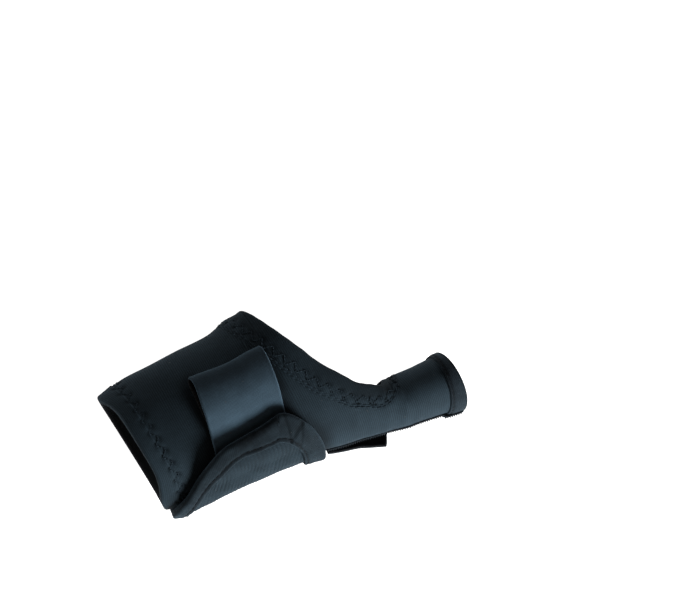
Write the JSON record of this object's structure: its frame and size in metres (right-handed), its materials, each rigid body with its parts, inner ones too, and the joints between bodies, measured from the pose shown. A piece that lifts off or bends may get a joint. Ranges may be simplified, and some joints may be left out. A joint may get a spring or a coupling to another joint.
{
  "type": "thumb spica splint",
  "caption": "Neoprene wrist sleeve with a thumb tube, a wrap-over closure flap and a folded elastic pull strap, for the left hand.",
  "frame": {"origin": "centre of the hollow for the wrist, 39 mm in from the forearm edge", "axes": "+X from the forearm to the thumb's end, +Y to the little finger's side, +Z out of the back of the hand"},
  "size_m": [0.1563, 0.0938, 0.0584],
  "materials": {
    "neoprene": "matt jersey face",
    "ribbed_knit": "finely ribbed, matt",
    "elastic": "woven, low sheen",
    "binding": "matt"
  },
  "bodies": {
    "root": {"sleeve": "neoprene", "thumb_hem": "binding", "thumb_seam": "binding", "closure_flap": "ribbed_knit", "flap_hem": "neoprene", "pull_strap": "elastic", "palm_tab": "binding"}
  },
  "joints": []
}
